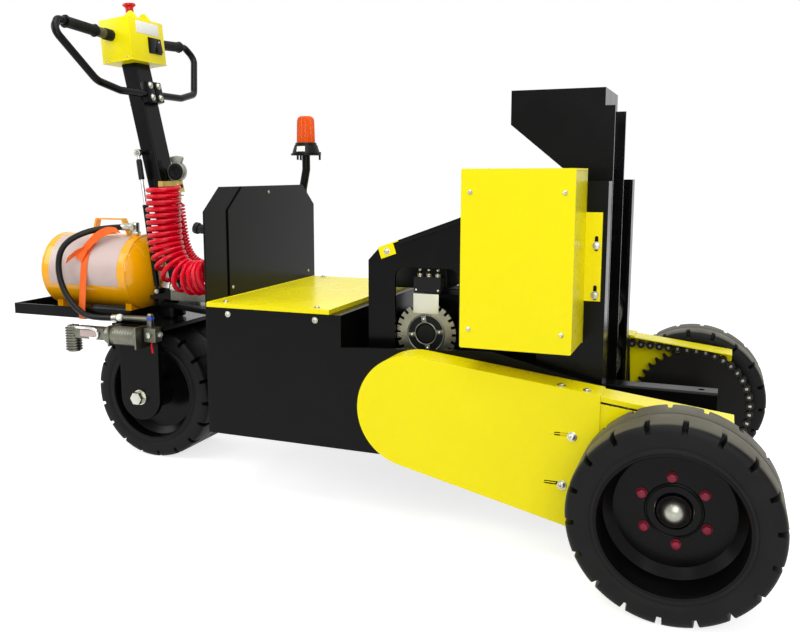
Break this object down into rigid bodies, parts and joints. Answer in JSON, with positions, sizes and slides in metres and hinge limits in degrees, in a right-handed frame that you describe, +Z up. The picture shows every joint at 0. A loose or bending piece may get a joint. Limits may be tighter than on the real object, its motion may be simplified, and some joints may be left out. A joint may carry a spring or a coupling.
{
  "type": "electric trailer mover",
  "caption": "Walk-behind battery tug that lifts a trailer tongue on a mast, drives on chain-driven wheels and steers by a tiller over a forked wheel, with an air tank on its tray.",
  "frame": {"origin": "ground level under the middle of the machine's length and width as it parks", "axes": "+X towards the drive wheels and drawbar, +Y to the machine's left seen from the tiller, +Z up"},
  "size_m": [2.26, 1.17, 1.3893],
  "materials": {
    "black_paint": "gloss",
    "yellow_paint": "gloss",
    "tank_paint": "gloss",
    "black_cast": "satin",
    "brass": "machined",
    "cast_metal": "cast",
    "bare_steel": "satin",
    "chain_steel": "oiled",
    "chrome_rod": "polished",
    "red_hose": "gloss",
    "black_hose": "satin",
    "grip_rubber": "matte",
    "tyre_rubber": "matte",
    "battery_case": "matte",
    "terminal_plastic": "matte",
    "red_plastic": "gloss",
    "amber_lens": "ribbed"
  },
  "bodies": {
    "chassis": {"frame_side_plates": "black_paint", "cross_members": "black_paint", "wheel_bearings": "black_cast", "battery_box": "black_paint", "battery_pack": "battery_case", "battery_cover": "yellow_paint", "rear_panel": "black_paint", "panel_overlay": "black_paint", "beacon_mount": "black_paint", "beacon_lens": "amber_lens", "motor_bay_plates": "black_paint", "motor_bay_cover": "yellow_paint", "gearboxes": "black_cast", "gearbox_mount": "black_paint", "drive_motors": "black_paint", "motor_brakes": "bare_steel", "motor_terminals": "terminal_plastic", "drive_chains": "chain_steel", "guard_rear": "yellow_paint", "guard_front": "yellow_paint", "mast_channels": "black_paint", "mast_ties": "black_paint", "lift_barrel": "black_paint", "pump_bracket": "yellow_paint", "pump_cover": "yellow_paint", "pump_unit": "bare_steel"},
    "drive_wheel_r": {"drive_tyre_r": "tyre_rubber", "drive_rim_r": "black_paint", "drive_hub_r": "bare_steel", "wheel_sprocket_r": "chain_steel"},
    "drive_wheel_l": {"drive_tyre_l": "tyre_rubber", "drive_rim_l": "black_paint", "drive_hub_l": "bare_steel", "wheel_sprocket_l": "chain_steel"},
    "drive_shaft_r": {"drive_sprocket_r": "chain_steel"},
    "drive_shaft_l": {"drive_sprocket_l": "chain_steel"},
    "carriage": {"carriage_frame": "black_paint", "carriage_rollers": "bare_steel", "lift_rod": "chrome_rod", "drawbar": "black_paint"},
    "steering": {"fork": "black_paint", "steering_stem": "black_paint", "rear_axle": "bare_steel", "tray": "black_paint", "air_tank": "tank_paint", "tank_mounts": "tank_paint", "compressor": "cast_metal", "coil_hose": "red_hose", "tank_hose": "black_hose", "hose_fittings": "cast_metal"},
    "rear_wheel": {"rear_tyre": "tyre_rubber", "rear_rim": "black_paint"},
    "tiller": {"tiller_column": "black_paint", "handle_loop": "black_paint", "hand_grips": "grip_rubber", "control_box": "yellow_paint", "stop_button": "red_plastic", "hose_block": "brass"},
    "strut_tubes": {"strut_tubes": "black_paint"},
    "strut_rods": {"strut_rods": "chrome_rod"}
  },
  "joints": [
    {"name": "drive_wheel_r_spin", "type": "hinge", "parent": "chassis", "child": "drive_wheel_r", "pos_m": [0.927, -0.5035, 0.203], "axis": [0, 1, 0], "continuous": true},
    {"name": "drive_wheel_l_spin", "type": "hinge", "parent": "chassis", "child": "drive_wheel_l", "pos_m": [0.927, 0.5035, 0.203], "axis": [0, 1, 0], "continuous": true},
    {"name": "drive_shaft_r_spin", "type": "hinge", "parent": "chassis", "child": "drive_shaft_r", "pos_m": [0.33, -0.372, 0.323], "axis": [0, 1, 0], "continuous": true},
    {"name": "drive_shaft_l_spin", "type": "hinge", "parent": "chassis", "child": "drive_shaft_l", "pos_m": [0.33, 0.372, 0.323], "axis": [0, 1, 0], "continuous": true},
    {"name": "lift", "type": "slide", "parent": "chassis", "child": "carriage", "axis": [0, 0, 1], "range_m": [0, 0.305]},
    {"name": "steer", "type": "hinge", "parent": "chassis", "child": "steering", "pos_m": [-0.615, 0, 0.45], "axis": [0, 0, 1], "range_deg": [-75, 75]},
    {"name": "rear_wheel_spin", "type": "hinge", "parent": "steering", "child": "rear_wheel", "pos_m": [-0.615, 0, 0.203], "axis": [0, 1, 0], "continuous": true},
    {"name": "tiller_tilt", "type": "hinge", "parent": "steering", "child": "tiller", "pos_m": [-0.563, 0, 0.526], "axis": [0, 1, 0], "range_deg": [-12, 10]},
    {"name": "strut_swing", "type": "hinge", "parent": "steering", "child": "strut_tubes", "pos_m": [-0.619, 0, 0.512], "axis": [0, 1, 0], "range_deg": [-13, 11]},
    {"name": "strut_slide", "type": "slide", "parent": "strut_tubes", "child": "strut_rods", "axis": [-0.1266, 0, 0.992], "range_m": [-0.014, 0.012]}
  ],
  "couplings": [
    {"joint": "drive_shaft_r_spin", "follows": "drive_wheel_r_spin", "ratio": 2.2941},
    {"joint": "drive_shaft_l_spin", "follows": "drive_wheel_l_spin", "ratio": 2.2941},
    {"joint": "strut_swing", "follows": "tiller_tilt", "ratio": 0.986},
    {"joint": "strut_slide", "follows": "tiller_tilt", "m_per_rad": 0.0575}
  ]
}
